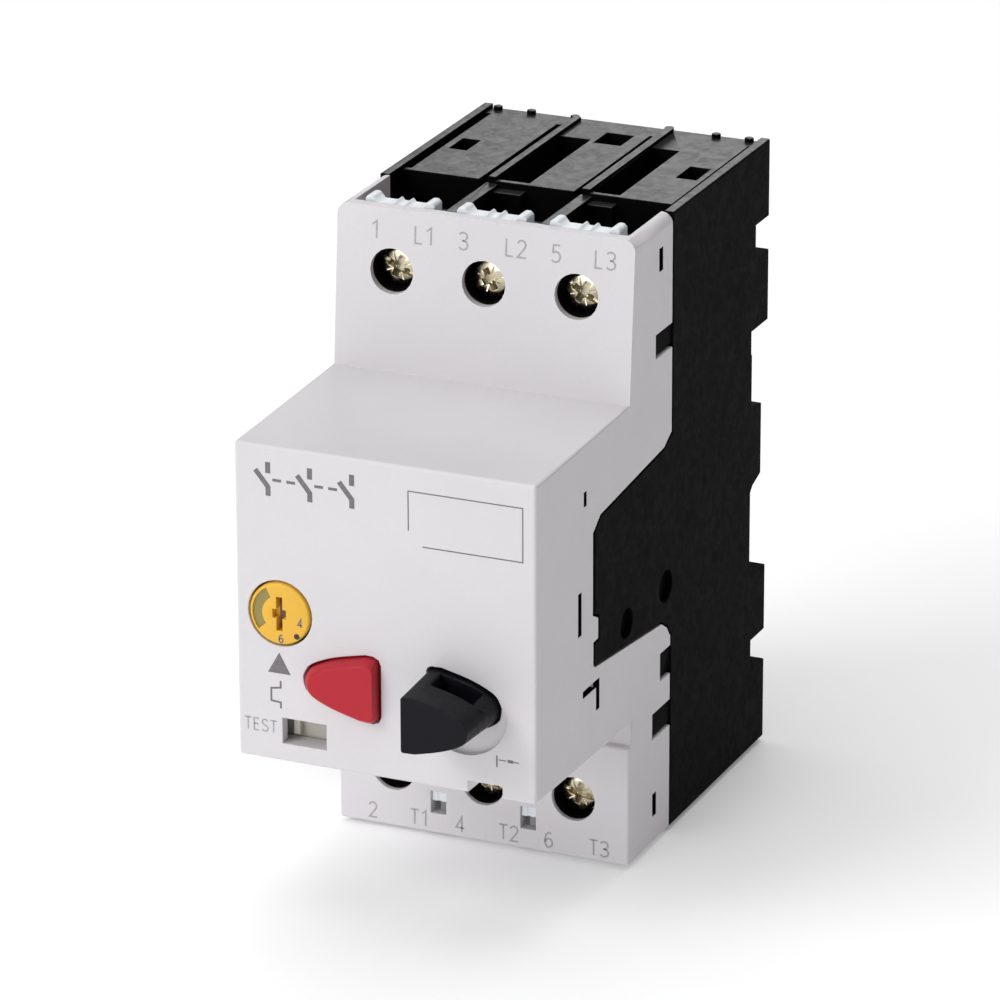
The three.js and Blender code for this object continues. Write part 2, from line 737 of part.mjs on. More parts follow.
function railLatch() {
  const half = LATCH_HALF;
  return cut(
    joined(
      box([-half, half], [LATCH_FRONT, -0.8], [4.5, 27]),
      box([-half - 1, half + 1], [LATCH_FRONT, -3.6], [4.5, 27]),
      prismX([[LATCH_FRONT, 26], [LATCH_FRONT, 31], [-3.6, 31], [-2, 28.5], [-2, 26]], -half, half),
    ),
    box([-2.2, 2.2], [LATCH_FRONT - 1, 0], [9, 20]),
    box([-1.6, 1.6], [-2.4, 0], [5.6, 7.4]),
  );
}

// ---------- assembly ----------

part('front_cover', frontCover(), finishes.cover);
part('base_housing', baseHousing(), finishes.base);
part('mechanism_frame', mechanismFrame(), finishes.mechanism);

const LOWER_SCREW_Z = HEIGHT - UPPER_SCREW_Z;
POLES.forEach((x, i) => {
  const pole = i + 1;
  part(`upper_terminal_screw_${pole}`, terminalScrew(x, UPPER_SCREW_Z, UPPER_FACE), finishes.screw);
  part(`lower_terminal_screw_${pole}`, terminalScrew(x, LOWER_SCREW_Z, LOWER_FACE), finishes.screw);
  part(`upper_terminal_clamp_${pole}`, terminalClamp(x, UPPER_SCREW_Z), finishes.steel);
  part(`lower_terminal_clamp_${pole}`, terminalClamp(x, LOWER_SCREW_Z), finishes.steel);
  part(`upper_wire_guide_${pole}`, wireGuide(x, -48.5, false), finishes.guide);
  part(`lower_wire_guide_${pole}`, wireGuide(x, -50.2, true), finishes.guide);
  part(`line_conductor_${pole}`, conductor(x, LINE_ROUTE), finishes.copper);
  part(`load_conductor_${pole}`, conductor(x, LOAD_ROUTE), finishes.copper);
  part(`contact_bridge_${pole}`, contactBridge(x), finishes.silver);
  part(`arc_chute_${pole}`, arcChute(x), finishes.steel);
  part(`trip_coil_${pole}`, tripCoil(x), finishes.copper);
  part(`trip_plunger_${pole}`, tripPlunger(x), finishes.steel);
  part(`bimetal_strip_${pole}`, bimetalStrip(x), finishes.steel);
});

part('contact_carrier', contactCarrier(), finishes.carrier);
part('trip_bar', tripBar(), finishes.mechanism);
part('toggle_lever', toggleLever(), finishes.steel);
part('lever_pin', pivotPin(), finishes.steel);
part('start_button', startButton(), finishes.start);
part('start_spring', springY(START_X, BUTTON_Z, 3.7, 0.4, SPRING_SPAN, 5), finishes.steel);
part('stop_button', stopButton(), finishes.stop);
part('stop_spring', springY(STOP_X, BUTTON_Z, 3, 0.35, SPRING_SPAN, 5), finishes.steel);
part('current_dial', currentDial(), finishes.dial);
part('test_slide', testSlide(), finishes.slide);
part('rail_latch', railLatch(), finishes.start);
part('latch_spring', springZ(0, -2.7, 1.4, 0.25, [10.9, 19.7], 5), finishes.steel);

// The frame's origin is under the middle of the whole, where its lowest points stand.
breaker.position.set(0, (START_PROUD - NOSE_FRONT) / 2, STAND_PROUD);

export default breaker;
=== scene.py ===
"""Looks for a rail-mounted three-pole motor protection breaker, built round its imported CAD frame."""

import json
import math

import bmesh
import bpy
from mathutils import Matrix, Vector

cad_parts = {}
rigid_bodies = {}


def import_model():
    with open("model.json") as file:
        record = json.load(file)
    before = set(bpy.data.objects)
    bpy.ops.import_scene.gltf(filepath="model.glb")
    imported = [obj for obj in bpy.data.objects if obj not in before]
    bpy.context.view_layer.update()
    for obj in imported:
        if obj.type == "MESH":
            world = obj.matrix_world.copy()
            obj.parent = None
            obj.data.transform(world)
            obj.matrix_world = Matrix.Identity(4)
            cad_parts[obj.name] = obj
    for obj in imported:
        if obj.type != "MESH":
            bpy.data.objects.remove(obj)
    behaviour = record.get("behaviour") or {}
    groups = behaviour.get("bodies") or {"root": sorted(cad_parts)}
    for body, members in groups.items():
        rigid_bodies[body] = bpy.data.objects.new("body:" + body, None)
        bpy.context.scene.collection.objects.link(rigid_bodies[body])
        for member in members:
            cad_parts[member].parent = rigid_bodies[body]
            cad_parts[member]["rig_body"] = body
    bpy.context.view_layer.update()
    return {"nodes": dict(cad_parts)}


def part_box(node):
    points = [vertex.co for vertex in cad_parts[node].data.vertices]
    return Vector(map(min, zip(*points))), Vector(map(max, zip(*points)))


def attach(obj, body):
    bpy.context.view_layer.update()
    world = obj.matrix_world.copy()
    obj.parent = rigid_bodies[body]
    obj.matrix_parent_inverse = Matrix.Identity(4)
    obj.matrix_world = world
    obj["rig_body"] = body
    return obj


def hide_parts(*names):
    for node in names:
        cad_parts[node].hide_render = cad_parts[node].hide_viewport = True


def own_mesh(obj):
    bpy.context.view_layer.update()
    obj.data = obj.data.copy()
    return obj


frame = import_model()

MM = 0.001
POLES = (1, 2, 3)

# The housing's rear plane and its bottom are the zeros of y and z in every position below, in millimetres.
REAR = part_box("base_housing")[1].y
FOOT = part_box("front_cover")[0].z
NOSE_FRONT = (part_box("front_cover")[0].y - REAR) / MM

# Half the housing's height, and the y of the flat face below the nose.
MIDDLE = 46.5
LOWER_FACE = -52.3


def at(x, y, z):
    return Vector((x * MM, REAR + y * MM, FOOT + z * MM))


def measured(point):
    """A point of the frame, in the housing's millimetres."""
    return Vector((point.x / MM, (point.y - REAR) / MM, (point.z - FOOT) / MM))


# ---------- materials ----------


class Graph:
    """A material's nodes, with Object coordinates in millimetres."""

    def __init__(self, name):
        self.material = bpy.data.materials.new(name)
        self.material.use_nodes = True
        self.tree = self.material.node_tree
        self.shader = self.tree.nodes["Principled BSDF"]
        self.place = self.stretched(1, 1, 1)

    def add(self, kind, inputs=None, **settings):
        node = self.tree.nodes.new(kind)
        for key, value in settings.items():
            setattr(node, key, value)
        for key, value in (inputs or {}).items():
            self.feed(node.inputs[key], value)
        return node

    def feed(self, socket, value):
        if isinstance(value, bpy.types.NodeSocket):
            self.tree.links.new(value, socket)
        else:
            socket.default_value = value

    def stretched(self, x, y, z):
        spot = self.add("ShaderNodeTexCoord").outputs["Object"]
        scale = (x / MM, y / MM, z / MM)
        return self.add("ShaderNodeMapping", {"Vector": spot, "Scale": scale}).outputs[0]

    def noise(self, scale, detail=2.0, place=None, distortion=0.0):
        inputs = {
            "Vector": place or self.place,
            "Scale": scale,
            "Detail": detail,
            "Distortion": distortion,
        }
        return self.add("ShaderNodeTexNoise", inputs).outputs["Fac"]

    def remap(self, value, source, target):
        inputs = {
            "Value": value,
            "From Min": source[0],
            "From Max": source[1],
            "To Min": target[0],
            "To Max": target[1],
        }
        return self.add("ShaderNodeMapRange", inputs).outputs[0]

    def maths(self, operation, a, b):
        return self.add("ShaderNodeMath", {0: a, 1: b}, operation=operation).outputs[0]

    def mixed(self, share, a, b):
        """A blend of two colours; the node's colour sockets are only known by number."""
        node = self.add("ShaderNodeMix", data_type="RGBA")
        for key, value in ((0, share), (6, a), (7, b)):
            self.feed(node.inputs[key], value)
        return node.outputs[2]

    def edges(self, radius):
        """1 on the sharp edges and corners, falling to 0 within a radius in millimetres."""
        rounded = self.add("ShaderNodeBevel", {"Radius": radius * MM}, samples=4).outputs[0]
        flat = self.add("ShaderNodeNewGeometry").outputs["Normal"]
        facing = self.add("ShaderNodeVectorMath", {0: rounded, 1: flat}, operation="DOT_PRODUCT")
        return self.remap(facing.outputs["Value"], (0.995, 0.8), (0.0, 1.0))

    def bump(self, layers):
        """Bumps, each a height with its depth in millimetres, one on the other."""
        normal = None
        for height, depth in layers:
            inputs = {"Height": height, "Distance": depth * MM, "Strength": 1.0}
            node = self.add("ShaderNodeBump", inputs)
            if normal:
                self.feed(node.inputs["Normal"], normal)
            normal = node.outputs[0]
        self.feed(self.shader.inputs["Normal"], normal)


def tone(color, factor):
    return (*(min(1.0, c * factor) for c in color), 1.0)


def plastic(name, color, roughness, edge_wear_and_highlight, variation=0.05, grain=0.02, edge_wear_and_highlight_share=0.35, gloss=0.5):
    """Moulded plastic: cloudy tint, spark-eroded grain, fine scuffs, and edges lightened to another tone, partly
    rubbed wear and partly a painted highlight.
    """
    g = Graph(name)
    cloud = g.remap(g.noise(0.07, 3.0), (0.3, 0.7), (0.0, 1.0))
    tint = g.mixed(cloud, tone(color, 1 - variation), tone(color, 1 + variation))
    fleck = g.remap(g.noise(1.9, 4.0), (0.35, 0.7), (0.0, 1.0))
    tint = g.mixed(g.maths("MULTIPLY", fleck, 0.35), tint, tone(color, 1 - 2.2 * variation))
    patchy = g.remap(g.noise(0.45, 3.0), (0.4, 0.62), (0.15, 1.0))
    # Lighter edges: partly rubbed wear, partly a painted highlight along the rounded edges.
    rubbed_and_highlit = g.maths("MULTIPLY", g.maths("MULTIPLY", g.edges(0.35), patchy), edge_wear_and_highlight_share)
    g.feed(g.shader.inputs["Base Color"], g.mixed(rubbed_and_highlit, tint, (*edge_wear_and_highlight, 1.0)))
    scuffs = g.remap(g.noise(0.6, 6.0, distortion=1.2), (0.35, 0.65), (-0.05, 0.07))
    satin = g.maths("ADD", scuffs, roughness)
    polish = g.maths("MULTIPLY", rubbed_and_highlit, 0.2)
    g.feed(g.shader.inputs["Roughness"], g.maths("SUBTRACT", satin, polish))
    g.bump([(g.noise(0.12, 1.0), 0.05), (g.noise(6.5, 2.0), grain)])
    g.shader.inputs["Specular IOR Level"].default_value = gloss
    return g.material


def metal(name, color, roughness, stretch=(1, 1, 1), tarnish=(0.2, 0.16, 0.1), tarnish_share=0.25):
    """Plated or bare metal: drawn scratches, a blotchy tarnish, and edges rubbed bright."""
    g = Graph(name)
    drawn = g.noise(9.0, 3.0, place=g.stretched(*stretch))
    blotch = g.remap(g.noise(0.5, 5.0, distortion=0.6), (0.42, 0.7), (0.0, 1.0))
    tint = g.mixed(g.remap(drawn, (0.3, 0.7), (0.0, 1.0)), tone(color, 0.88), tone(color, 1.08))
    tint = g.mixed(g.maths("MULTIPLY", blotch, tarnish_share), tint, (*tarnish, 1.0))
    bright = g.maths("MULTIPLY", g.edges(0.15), 0.5)
    g.feed(g.shader.inputs["Base Color"], g.mixed(bright, tint, tone(color, 1.25)))
    dull = g.remap(blotch, (0.0, 1.0), (roughness - 0.04, roughness + 0.16))
    streaks = g.remap(drawn, (0.3, 0.7), (-0.05, 0.05))
    g.feed(g.shader.inputs["Roughness"], g.maths("ADD", dull, streaks))
    g.bump([(drawn, 0.003), (g.noise(1.2, 2.0), 0.005)])
    g.shader.inputs["Metallic"].default_value = 1.0
    return g.material


def ink(name, color):
    """Pad-printed ink: slightly patchy, thin where it lies over the grain."""
    g = Graph(name)
    patch = g.remap(g.noise(2.5, 4.0), (0.35, 0.7), (0.0, 1.0))
    g.feed(g.shader.inputs["Base Color"], g.mixed(patch, tone(color, 0.9), tone(color, 1.15)))
    g.feed(g.shader.inputs["Roughness"], g.remap(g.noise(1.0, 2.0), (0.3, 0.7), (0.45, 0.6)))
    g.bump([(g.noise(6.5, 2.0), 0.01)])
    return g.material


PALE = plastic(
    "pale_grey_plastic", (0.685, 0.665, 0.685), 0.48, (0.86, 0.86, 0.88),
    variation=0.02, grain=0.012, edge_wear_and_highlight_share=0.3,
)
BLACK = plastic(
    "black_plastic", (0.0035, 0.003, 0.0032), 0.6, (0.02, 0.018, 0.019),
    variation=0.06, grain=0.01, edge_wear_and_highlight_share=0.4, gloss=0.02,
)
# Glossier than the black plastic, and lighter in colour: a painted sheen for the base's top and bottom faces.
DECK_BLACK_PAINTED_SHEEN = plastic(
    "polished_black_plastic_painted_sheen", (0.02, 0.017, 0.017), 0.34, (0.09, 0.085, 0.09),
    variation=0.12, grain=0.006, edge_wear_and_highlight_share=0.5, gloss=0.42,
)
WHITE = plastic(
    "white_plastic", (0.80, 0.84, 0.87), 0.4, (0.93, 0.95, 0.97),
    variation=0.02, grain=0.01, edge_wear_and_highlight_share=0.3,
)
BUTTON_BLACK = plastic(
    "button_black_plastic", (0.006, 0.006, 0.009), 0.42, (0.035, 0.035, 0.04),
    variation=0.1, grain=0.012, edge_wear_and_highlight_share=0.4, gloss=0.13,
)
RED = plastic(
    "red_plastic", (0.48, 0.022, 0.036), 0.4, (0.7, 0.09, 0.1),
    variation=0.05, grain=0.01, edge_wear_and_highlight_share=0.4, gloss=0.2,
)
YELLOW = plastic(
    "yellow_plastic", (0.83, 0.47, 0.035), 0.36, (0.93, 0.62, 0.12),
    variation=0.05, grain=0.01, edge_wear_and_highlight_share=0.4,
)
OLIVE = plastic("olive_field", (0.30, 0.24, 0.07), 0.5, (0.4, 0.33, 0.12), variation=0.1, grain=0.02)
CREAM = plastic("cream_plastic", (0.66, 0.63, 0.55), 0.5, (0.78, 0.76, 0.68), variation=0.04, grain=0.015)
GREY_RESIN = plastic(
    "dark_grey_resin", (0.05, 0.055, 0.06), 0.55, (0.14, 0.14, 0.15), variation=0.12, grain=0.03
)
BROWN_RESIN = plastic(
    "brown_resin", (0.17, 0.08, 0.035), 0.5, (0.3, 0.16, 0.08), variation=0.15, grain=0.03
)
BRASS_PLATED = metal(
    "passivated_screw", (0.6, 0.54, 0.4), 0.2, tarnish=(0.16, 0.11, 0.05), tarnish_share=0.4
)
ZINC = metal(
    "zinc_plated_steel", (0.6, 0.61, 0.63), 0.32,
    stretch=(0.15, 1, 1), tarnish=(0.3, 0.3, 0.32), tarnish_share=0.35,
)
SPRING_WIRE = metal(
    "spring_wire", (0.6, 0.6, 0.62), 0.25,
    stretch=(1, 0.1, 1), tarnish=(0.3, 0.28, 0.26), tarnish_share=0.2,
)
COPPER = metal(
    "copper", (0.72, 0.36, 0.2), 0.3,
    stretch=(1, 1, 0.1), tarnish=(0.22, 0.09, 0.05), tarnish_share=0.45,
)
SILVERED = metal(
    "silvered_contact", (0.72, 0.7, 0.66), 0.28,
    stretch=(0.2, 1, 1), tarnish=(0.25, 0.2, 0.15), tarnish_share=0.3,
)
STRIP = metal(
    "rolled_strip", (0.55, 0.52, 0.48), 0.35,
    stretch=(1, 1, 0.08), tarnish=(0.3, 0.2, 0.3), tarnish_share=0.35,
)
DARK_INK = ink("dark_grey_ink", (0.16, 0.15, 0.16))
PALE_INK = ink("pale_grey_ink", (0.38, 0.37, 0.39))
BLACK_INK = ink("black_ink", (0.02, 0.02, 0.02))


# ---------- pieces ----------


def piece(name, mesh, material, body):
    mesh.materials.clear()
    mesh.materials.append(material)
    made = bpy.data.objects.new(name, mesh)
    bpy.context.scene.collection.objects.link(made)
    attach(made, body)
    return made


def baked(made):
    """Applies the piece's modifiers."""
    bpy.context.view_layer.update()
    graph = bpy.context.evaluated_depsgraph_get()
    mesh = bpy.data.meshes.new_from_object(made.evaluated_get(graph))
    made.modifiers.clear()
    made.data = mesh
    return made


def shaded(made, sharp=40):
    """Smooth over rounded edges, flat on the faces between them."""
    made.data.polygons.foreach_set("use_smooth", [True] * len(made.data.polygons))
    made.data.set_sharp_from_angle(angle=math.radians(sharp))
    normals = made.modifiers.new("flat faces", "WEIGHTED_NORMAL")
    normals.keep_sharp = True
    normals.weight = 80
    return made


# Vertices nearer than this are one, in metres. Two edges whose directions have a smaller cosine than GENTLE
# turn off each other; with a greater one they run on into each other.
CLOSE = 2e-6
GENTLE = 0.77


def room(edge):
    """How far the edges that turn off this one reach, so that a bevel doesn't run past them."""
    along = (edge.verts[1].co - edge.verts[0].co).normalized()
    reach = 1.0
    for loop in edge.link_loops:
        for side in (loop.link_loop_next.edge, loop.link_loop_prev.edge):
            line = side.verts[1].co - side.verts[0].co
            if abs(line.normalized().dot(along)) < GENTLE:
                reach = min(reach, line.length)
    return reach


def evened(chosen):
    """Gives edges that turn gently into each other the smallest of their widths, for a clean rounded run."""
    waiting = list(chosen)
    while waiting:
        edge = waiting.pop()
        line = (edge.verts[1].co - edge.verts[0].co).normalized()
        for vert in edge.verts:
            for other in vert.link_edges:
                if chosen.get(other, 0.0) <= chosen[edge]:
                    continue
                turn = (other.verts[1].co - other.verts[0].co).normalized().dot(line)
                if abs(turn) > GENTLE:
                    chosen[other] = chosen[edge]
                    waiting.append(other)


def resplit(shape, axis, across, places):
    """Splits the flat faces that lie across one axis where another axis has these values, in metres.

    Their older splits go. A face with holes then has one split through each hole.
    """
    for place in places:
        everything = [*shape.verts, *shape.edges, *shape.faces]
        level, normal = Vector((0, 0, 0)), Vector((0, 0, 0))
        level[axis], normal[axis] = place, 1
        bmesh.ops.bisect_plane(shape, geom=everything, dist=1e-6, plane_co=level, plane_no=normal)
    shape.normal_update()
    spare = []
    for edge in shape.edges:
        flat = all(abs(face.normal[across]) > 0.9 for face in edge.link_faces)
        kept = any(all(abs(vert.co[axis] - place) < CLOSE for vert in edge.verts) for place in places)
        if flat and not kept and edge.calc_face_angle(1.0) < math.radians(3):
            spare.append(edge)
    bmesh.ops.dissolve_edges(shape, edges=spare, use_verts=False)


def refined(node, material, widths, segments=3, splits=None):
    """The CAD node's own shape with its outer edges rounded.

    widths gives each edge's bevel in millimetres; no bevel takes more than a share of the room beside it.
    """
    source = frame["nodes"][node]
    shape = bmesh.new()
    shape.from_mesh(source.data)
    bmesh.ops.remove_doubles(shape, verts=shape.verts, dist=CLOSE)
    bmesh.ops.dissolve_limit(shape, angle_limit=math.radians(1), verts=shape.verts, edges=shape.edges)
    weight = shape.edges.layers.float.new("bevel_weight_edge")
    chosen = {}
    for edge in shape.edges:
        if edge.is_manifold and edge.calc_face_angle_signed() > math.radians(25):
            middle = measured((edge.verts[0].co + edge.verts[1].co) / 2)
            wanted = widths(middle, edge.calc_length() / MM)
            chosen[edge] = min(wanted, 0.38 * room(edge) / MM)
    evened(chosen)
    widest = max(chosen.values())
    for edge, width in chosen.items():
        edge[weight] = width / widest
    for (axis, across), places in (splits or {}).items():
        resplit(shape, axis, across, places)
    mesh = bpy.data.meshes.new(node + "_shape")
    shape.to_mesh(mesh)
    shape.free()
    made = piece(node + "_moulded", mesh, material, source["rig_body"])
    bevel = made.modifiers.new("rounded edges", "BEVEL")
    bevel.limit_method = "WEIGHT"
    bevel.width = widest * MM
    bevel.segments = segments
    bevel.use_clamp_overlap = False
    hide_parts(node)
    return shaded(baked(made))


def even(width):
    return lambda middle, length: width


def dress(node, material):
    for holder in frame["nodes"][node].material_slots:
        holder.link = "OBJECT"
        holder.material = material


# ---------- housing ----------


# Edges with x beyond this lie on the housing's sides.
SIDE = 22.4
# The face above the nose: its z and y at its foot, and how far it leans back over its height.
UPPER_FOOT, UPPER_FACE, LEAN, UPPER_HEIGHT = 69.5, -52.5, 1.8, 23.5
COVER_REAR = -37.1
COVER_TOP = 92.9


def cover_widths(middle, length):
    x, y, z = middle
    if y < NOSE_FRONT + 0.05 and length > 20:
        return 0.55
    if z > UPPER_FOOT + 0.1 and y < UPPER_FACE + LEAN + 0.1:
        return 0.0
    if y > COVER_REAR:
        return 0.15
    if length > 8 and z < COVER_TOP and (abs(x) > SIDE or y < -52):
        return 0.45
    if abs(x) > 20 or y < -50:
        return 0.14
    return 0.1


def base_widths(middle, length):
    if length > 10 and (abs(middle.x) > SIDE or middle.y > -0.1):
        return 0.35
    return 0.16


# Each hole in the cover's front faces, and in its side faces, is crossed by one of these.
cover_splits = {
    (0, 1): [x * MM for x in (-14, -7, 0, 7, 14)],
    (2, 0): [at(0, 0, z).z for z in (5.8, 32.3, 45, 61.2, 87.5)],
}
cover = refined("front_cover", PALE, cover_widths, splits=cover_splits)
cover.data.materials.append(BLACK)
# The small slots in the cover's sides, as y and z ranges; their inside faces take the black material, a painted
# shade.
SIDE_SLOTS = (
    (-41.9, -40.5, 85.8, 89.1),
    (-43.3, -41.9, 4.1, 7.5),
    (-68.6, -67.6, 60.2, 62.3),
    (-70.5, -69.3, 41.7, 48.0),
    (-68.8, -62.9, 32.0, 33.0),
    (-64.1, -62.9, 28.5, 32.5),
)
SLOT_DEPTHS = (21.4, 22.42)


def in_side_slot(spot, slack=0.05):
    if not SLOT_DEPTHS[0] < abs(spot.x) < SLOT_DEPTHS[1]:
        return False
    return any(
        y0 - slack < spot.y < y1 + slack and z0 - slack < spot.z < z1 + slack
        for y0, y1, z0, z1 in SIDE_SLOTS
    )


# The slots' inside faces get the black material, a painted shade.
for face in cover.data.polygons:
    face.material_index = int(in_side_slot(measured(face.center)))
base = refined("base_housing", BLACK, base_widths)
base.data.materials.append(DECK_BLACK_PAINTED_SHEEN)
# The base's top and bottom are smoother than its sides, and lighter in colour, a painted sheen; their faces lie at
# least this far from its middle.
DECKS = 43
for face in base.data.polygons:
    level = abs(measured(face.center).z - MIDDLE)
    face.material_index = int(abs(face.normal.z) > 0.8 and level > DECKS)
refined("rail_latch", BLACK, even(0.25))
refined("test_slide", CREAM, even(0.15))
for pole in POLES:
    for level in ("upper", "lower"):
        refined(f"{level}_wire_guide_{pole}", WHITE, even(0.3))
        refined(f"{level}_terminal_clamp_{pole}", ZINC, even(0.25))


# ---------- buttons ----------


def start_widths(middle, length):
    return 0.35 if middle.y < NOSE_FRONT - 0.5 else 0.12


def stop_widths(middle, length):
    return 0.95 if middle.y < NOSE_FRONT - 0.2 else 0.15


refined("start_button", BUTTON_BLACK, start_widths, segments=4)
refined("stop_button", RED, stop_widths, segments=5)


# ---------- turned and cut pieces ----------


def turned(profile, sides=64):
    """A mesh turned about a line along Y through the origin, from (radius, y) points in millimetres."""
    shape = bmesh.new()
    rings = []
    for radius, y in profile:
        if radius == 0:
            tip = shape.verts.new((0, y * MM, 0))
            rings.append([tip] * sides)
            continue
        turns = [2 * math.pi * k / sides for k in range(sides)]
        spots = [(radius * MM * math.cos(t), y * MM, radius * MM * math.sin(t)) for t in turns]
        rings.append([shape.verts.new(spot) for spot in spots])
    for near, far in zip(rings, rings[1:]):
        for k in range(sides):
            corners = [near[k], near[k - 1], far[k - 1], far[k]]
            shape.faces.new(list(dict.fromkeys(corners)))
    bmesh.ops.remove_doubles(shape, verts=shape.verts, dist=1e-7)
    bmesh.ops.recalc_face_normals(shape, faces=shape.faces)
    mesh = bpy.data.meshes.new("turned")
    shape.to_mesh(mesh)
    shape.free()
    return mesh


def prism(outline, y0, y1):
    """A mesh between two planes across Y, from (x, z) points, all in millimetres."""
    shape = bmesh.new()
    near = [shape.verts.new((x * MM, y0 * MM, z * MM)) for x, z in outline]
    far = [shape.verts.new((x * MM, y1 * MM, z * MM)) for x, z in outline]
    shape.faces.new(near)
    shape.faces.new(far[::-1])
    for k in range(len(near)):
        shape.faces.new([near[k - 1], near[k], far[k], far[k - 1]])
    bmesh.ops.recalc_face_normals(shape, faces=shape.faces)
    mesh = bpy.data.meshes.new("prism")
    shape.to_mesh(mesh)
    shape.free()
    return mesh


def bar(width, height, angle=0.0):
    """A rectangle about the origin, turned by an angle in degrees."""
    c, s = math.cos(math.radians(angle)), math.sin(math.radians(angle))
    x, z = width / 2, height / 2
    corners = [(-x, -z), (x, -z), (x, z), (-x, z)]
    return [(x * c - z * s, x * s + z * c) for x, z in corners]


def machined(mesh, cuts, edge):
    """The mesh with prisms cut out of it, and every remaining edge rounded."""
    made = bpy.data.objects.new("work", mesh)
    bpy.context.scene.collection.objects.link(made)
    tools = []
    for outline, y0, y1 in cuts:
        tool = bpy.data.objects.new("tool", prism(outline, y0, y1))
        bpy.context.scene.collection.objects.link(tool)
        tools.append(tool)
        cut = made.modifiers.new("cut", "BOOLEAN")
        cut.operation = "DIFFERENCE"
        cut.object = tool
    bevel = made.modifiers.new("edge", "BEVEL")
    bevel.limit_method = "ANGLE"
    bevel.angle_limit = math.radians(35)
    bevel.width = edge * MM
    bevel.segments = 2
    result = baked(made).data
    for leftover in (made, *tools):
        bpy.data.objects.remove(leftover)
    return result


HEAD, SHANK = 2.8, 1.7
HEAD_CORNER = 0.55
HEAD_HEIGHT = 2.5


def screw_mesh(length):
    """A pan head with a cross recess and a slot, and its plain shank; y runs from the head's front."""
    corner = [
        (HEAD - HEAD_CORNER * (1 - math.sin(t)), 0.25 + HEAD_CORNER * (1 - math.cos(t)))
        for t in (0.0, 0.4, 0.8, 1.2, 1.57)
    ]
    profile = [(0, 0), (1.2, 0.03), (1.9, 0.12), *corner]
    profile += [(HEAD, HEAD_HEIGHT - 0.2), (HEAD - 0.2, HEAD_HEIGHT), (SHANK, HEAD_HEIGHT)]
    profile += [(SHANK, length - 0.4), (SHANK - 0.4, length), (0, length)]
    cuts = [
        (bar(5.9, 0.8), -1, 0.75),
        (bar(3.3, 1.0), -1, 1.4),
        (bar(1.0, 3.3), -1, 1.4),
        (bar(1.8, 1.8, 45), -1, 1.0),
        (bar(4.0, 0.22, 45), -1, 0.22),
        (bar(0.22, 4.0, 45), -1, 0.22),
    ]
    return machined(turned(profile), cuts, 0.09)


# How far each screw happens to be turned, in degrees.
TURNS = {"upper": (24, -28, 30), "lower": (-20, 35, 12)}
for level, angles in TURNS.items():
    for pole, angle in zip(POLES, angles):
        node = f"{level}_terminal_screw_{pole}"
        low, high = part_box(node)
        mesh = screw_mesh((high.y - low.y) / MM)
        spot = Vector(((low.x + high.x) / 2, low.y, (low.z + high.z) / 2))
        mesh.transform(Matrix.Translation(spot) @ Matrix.Rotation(math.radians(angle), 4, "Y"))
        made = piece(node + "_turned", mesh, BRASS_PLATED, f"{level}_screw_{pole}")
        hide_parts(node)
        shaded(made, 35)


# Black linings in the cover's bores: partly the housing's black screw wells behind the thin cover wall, partly a
# painted shade on the bore walls.
BORE = 3.3
# The y of the cover's face at each row of bores, and how far behind it the rims start.
WELLS = {"upper": (-51.4, 0.9), "lower": (LOWER_FACE, 0.7)}
for level, (face, depth) in WELLS.items():
    for pole in POLES:
        low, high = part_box(f"{level}_terminal_screw_{pole}")
        centre = measured((low + high) / 2)
        front, rear = face + depth, measured(low).y + 2
        outside, inside = BORE - 0.02, BORE - 0.18
        edge = [(outside, front), (outside, rear), (inside, rear), (inside, front + 0.1)]
        mesh = turned([*edge, edge[0]])
        mesh.transform(Matrix.Translation(at(centre.x, 0, centre.z)))
        shaded(piece(f"{level}_screw_well_{pole}", mesh, BLACK, "housing"), 35)


# The white ends of the parts behind the two square test points, in the upper half of each hole.
for name, x in (("left", -7), ("right", 7)):
    mesh = machined(prism(bar(2.3, 1.56), 0, 1), [(bar(0.5, 3.2), -1, 0.12)], 0.08)
    mesh.transform(Matrix.Translation(at(x, LOWER_FACE + 0.5, 5.675)))
    shaded(piece(f"test_point_{name}", mesh, WHITE, "housing"), 35)


# ---------- dial ----------


def sector(inner, outer, start, end, steps=20):
    """A piece of a ring, between two angles in degrees."""
    angles = [math.radians(start + (end - start) * k / steps) for k in range(steps + 1)]
    rim = [(outer * math.cos(a), outer * math.sin(a)) for a in angles]
    return rim + [(inner * math.cos(a), inner * math.sin(a)) for a in reversed(angles)]


low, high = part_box("current_dial")
DIAL = Vector(((low.x + high.x) / 2, low.y, (low.z + high.z) / 2))
DIAL_LENGTH = (high.y - low.y) / MM
DIAL_RADIUS = 4.55
# The sunk scale field: its inner and outer radius, and the angles it runs between.
FIELD = (2.6, 4.1, 119, 219)
dial_profile = [
    (0, 0),
    (DIAL_RADIUS - 0.4, 0),
    (DIAL_RADIUS - 0.15, 0.1),
    (DIAL_RADIUS, 0.35),
    (DIAL_RADIUS, 1.8),
    (3.4, 1.8),
    (3.4, 2.3),
    (4.2, 2.3),
    (4.2, 3.2),
    (1.6, 3.2),
    (1.6, DIAL_LENGTH),
    (0, DIAL_LENGTH),
]
dial_cuts = [
    (bar(0.95, 5.0), -1, 1.2),
    (bar(2.1, 1.35), -1, 1.2),
    (sector(*FIELD), -1, 0.3),
]
mesh = machined(turned(dial_profile, 96), dial_cuts, 0.07)
mesh.transform(Matrix.Translation(DIAL))
dial = shaded(piece("current_dial_moulded", mesh, YELLOW, "current_dial"), 35)
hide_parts("current_dial")

inner, outer, start, end = FIELD
mesh = prism(sector(inner + 0.06, outer - 0.06, start + 1, end - 1), 0.24, 0.34)
mesh.transform(Matrix.Translation(DIAL))
piece("dial_scale_field", mesh, OLIVE, "current_dial")

mesh = prism(bar(0.8, 4.8), 1.12, 1.25)
mesh.transform(Matrix.Translation(DIAL))
piece("dial_slot_floor", mesh, BROWN_RESIN, "current_dial")


# ---------- printing ----------

